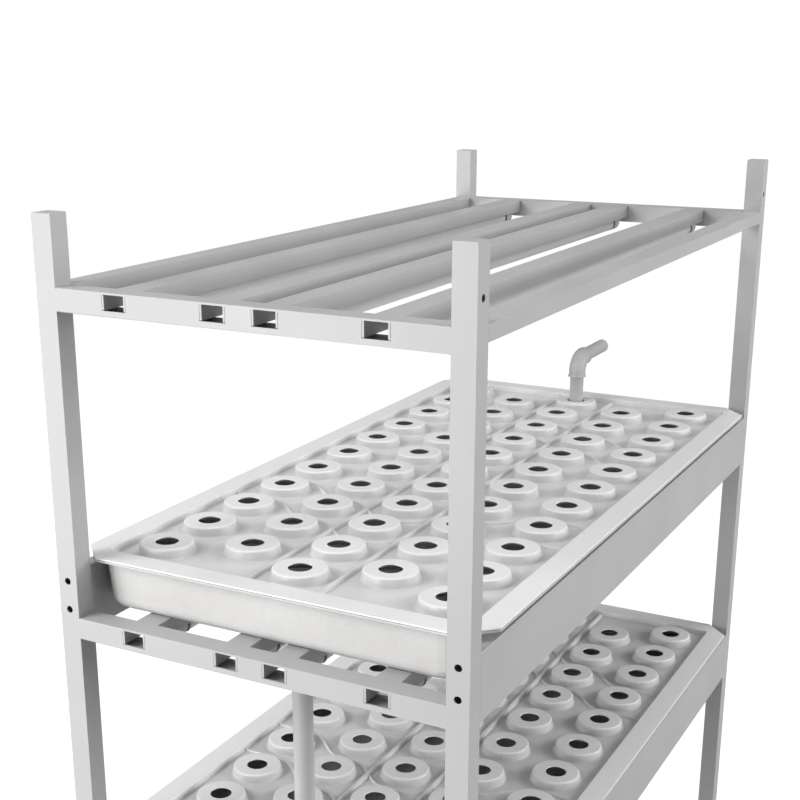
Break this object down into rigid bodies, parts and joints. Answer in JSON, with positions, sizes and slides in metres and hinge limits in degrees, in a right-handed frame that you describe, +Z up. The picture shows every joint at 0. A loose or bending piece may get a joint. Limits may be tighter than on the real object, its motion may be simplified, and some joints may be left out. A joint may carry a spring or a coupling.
{
  "type": "multi-tier hydroponic grow rack",
  "caption": "Free-standing steel rack with stacked hydroponic grow trays under moulded lids with raised plant sites, lamp channels overhead and a water inlet and drains.",
  "frame": {"origin": "on the floor under the feet, in the middle of the whole outline, the water inlet's pipe end at the back included", "axes": "+Z up, +Y from the front towards the back where the water inlet points, +X from the left post to the right post seen from the front"},
  "size_m": [0.6114, 1.2762, 1.43],
  "materials": {
    "coated_steel": "white-grey satin powder coating on square and flat steel tube",
    "zinc_steel": "zinc plated",
    "lamp_tube": "frosted diffuser tube with light grey end caps",
    "spring_steel": "plain spring strip",
    "tray_plastic": "off-white moulded sheet, fine grain",
    "lid_plastic": "off-white moulded sheet, fine mottled grain",
    "pipe_plastic": "light grey pressure pipe",
    "rubber": "black moulded rubber"
  },
  "bodies": {
    "frame": {"post_front_left": "coated_steel", "post_front_right": "coated_steel", "post_back_left": "coated_steel", "post_back_right": "coated_steel", "post_top_plates": "coated_steel", "post_foot_plates": "coated_steel", "top_rail_left": "coated_steel", "top_rail_right": "coated_steel", "top_rail_front": "coated_steel", "top_rail_back": "coated_steel", "middle_rail_front": "coated_steel", "middle_rail_back": "coated_steel", "middle_beam_left": "coated_steel", "middle_beam_right": "coated_steel", "bottom_rail_front": "coated_steel", "bottom_rail_back": "coated_steel", "bottom_beam_left": "coated_steel", "bottom_beam_right": "coated_steel", "beam_end_plates": "coated_steel", "top_channel_1": "coated_steel", "top_channel_2": "coated_steel", "top_channel_3": "coated_steel", "top_channel_4": "coated_steel", "middle_channel_1": "coated_steel", "middle_channel_2": "coated_steel", "middle_channel_3": "coated_steel", "middle_channel_4": "coated_steel", "bottom_channel_1": "coated_steel", "bottom_channel_2": "coated_steel", "bottom_channel_3": "coated_steel", "bottom_channel_4": "coated_steel", "levelling_feet": "zinc_steel", "foot_lock_nuts": "zinc_steel", "top_lamp_1": "lamp_tube", "top_lamp_2": "lamp_tube", "top_lamp_3": "lamp_tube", "top_lamp_4": "lamp_tube", "middle_lamp_1": "lamp_tube", "middle_lamp_2": "lamp_tube", "middle_lamp_3": "lamp_tube", "middle_lamp_4": "lamp_tube", "top_lamp_clips": "spring_steel", "middle_lamp_clips": "spring_steel"},
    "middle_tray": {"middle_tray": "tray_plastic", "middle_drain_pipe": "pipe_plastic", "middle_drain_nut": "pipe_plastic"},
    "middle_lid": {"middle_lid": "lid_plastic", "inlet_grommet": "rubber"},
    "inlet": {"inlet_riser": "pipe_plastic", "inlet_elbow": "pipe_plastic", "inlet_stub": "pipe_plastic"},
    "bottom_tray": {"bottom_tray": "tray_plastic", "bottom_drain_pipe": "pipe_plastic", "bottom_drain_nut": "pipe_plastic"},
    "bottom_lid": {"bottom_lid": "lid_plastic"}
  },
  "joints": [
    {"name": "middle_tray_lift", "type": "slide", "parent": "frame", "child": "middle_tray", "axis": [0, 0, 1], "range_m": [0, 0.07]},
    {"name": "middle_lid_lift", "type": "slide", "parent": "middle_tray", "child": "middle_lid", "axis": [0, 0, 1], "range_m": [0, 0.1]},
    {"name": "inlet_swivel", "type": "hinge", "parent": "middle_lid", "child": "inlet", "pos_m": [0, 0.5011, 0.979], "axis": [0, 0, 1], "range_deg": [-90, 90]},
    {"name": "bottom_tray_lift", "type": "slide", "parent": "frame", "child": "bottom_tray", "axis": [0, 0, 1], "range_m": [0, 0.035]},
    {"name": "bottom_lid_lift", "type": "slide", "parent": "bottom_tray", "child": "bottom_lid", "axis": [0, 0, 1], "range_m": [0, 0.1]}
  ]
}
